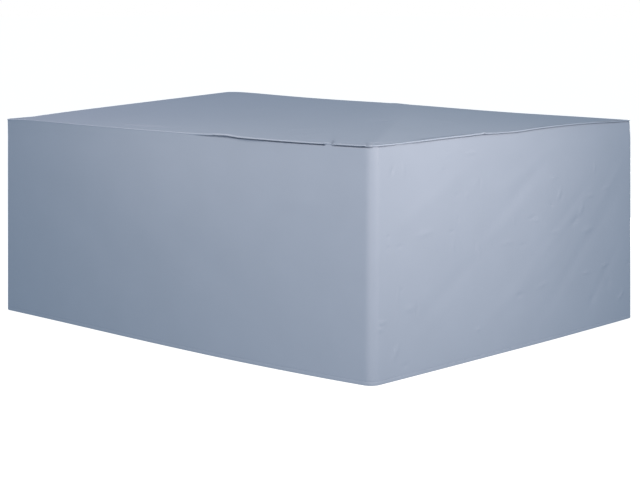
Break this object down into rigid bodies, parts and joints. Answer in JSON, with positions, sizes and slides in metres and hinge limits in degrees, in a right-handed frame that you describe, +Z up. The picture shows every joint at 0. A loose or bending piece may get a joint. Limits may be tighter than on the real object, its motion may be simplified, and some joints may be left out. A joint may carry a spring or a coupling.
{
  "type": "patio furniture cover",
  "caption": "Fitted rectangular patio furniture cover: a low crowned top sewn to straight walls with soft upright corners and a folded hem, hollow and open below.",
  "frame": {"origin": "on the ground, under the middle of the cover", "axes": "+X along the long side, to the right wall; +Y to the back wall; +Z up"},
  "size_m": [2.0515, 1.7009, 0.8932],
  "materials": {
    "coated_polyester": "smooth blue-grey coated polyester cloth, dull with a soft broad sheen"
  },
  "bodies": {
    "root": {"top_panel": "coated_polyester", "skirt": "coated_polyester"}
  },
  "joints": []
}
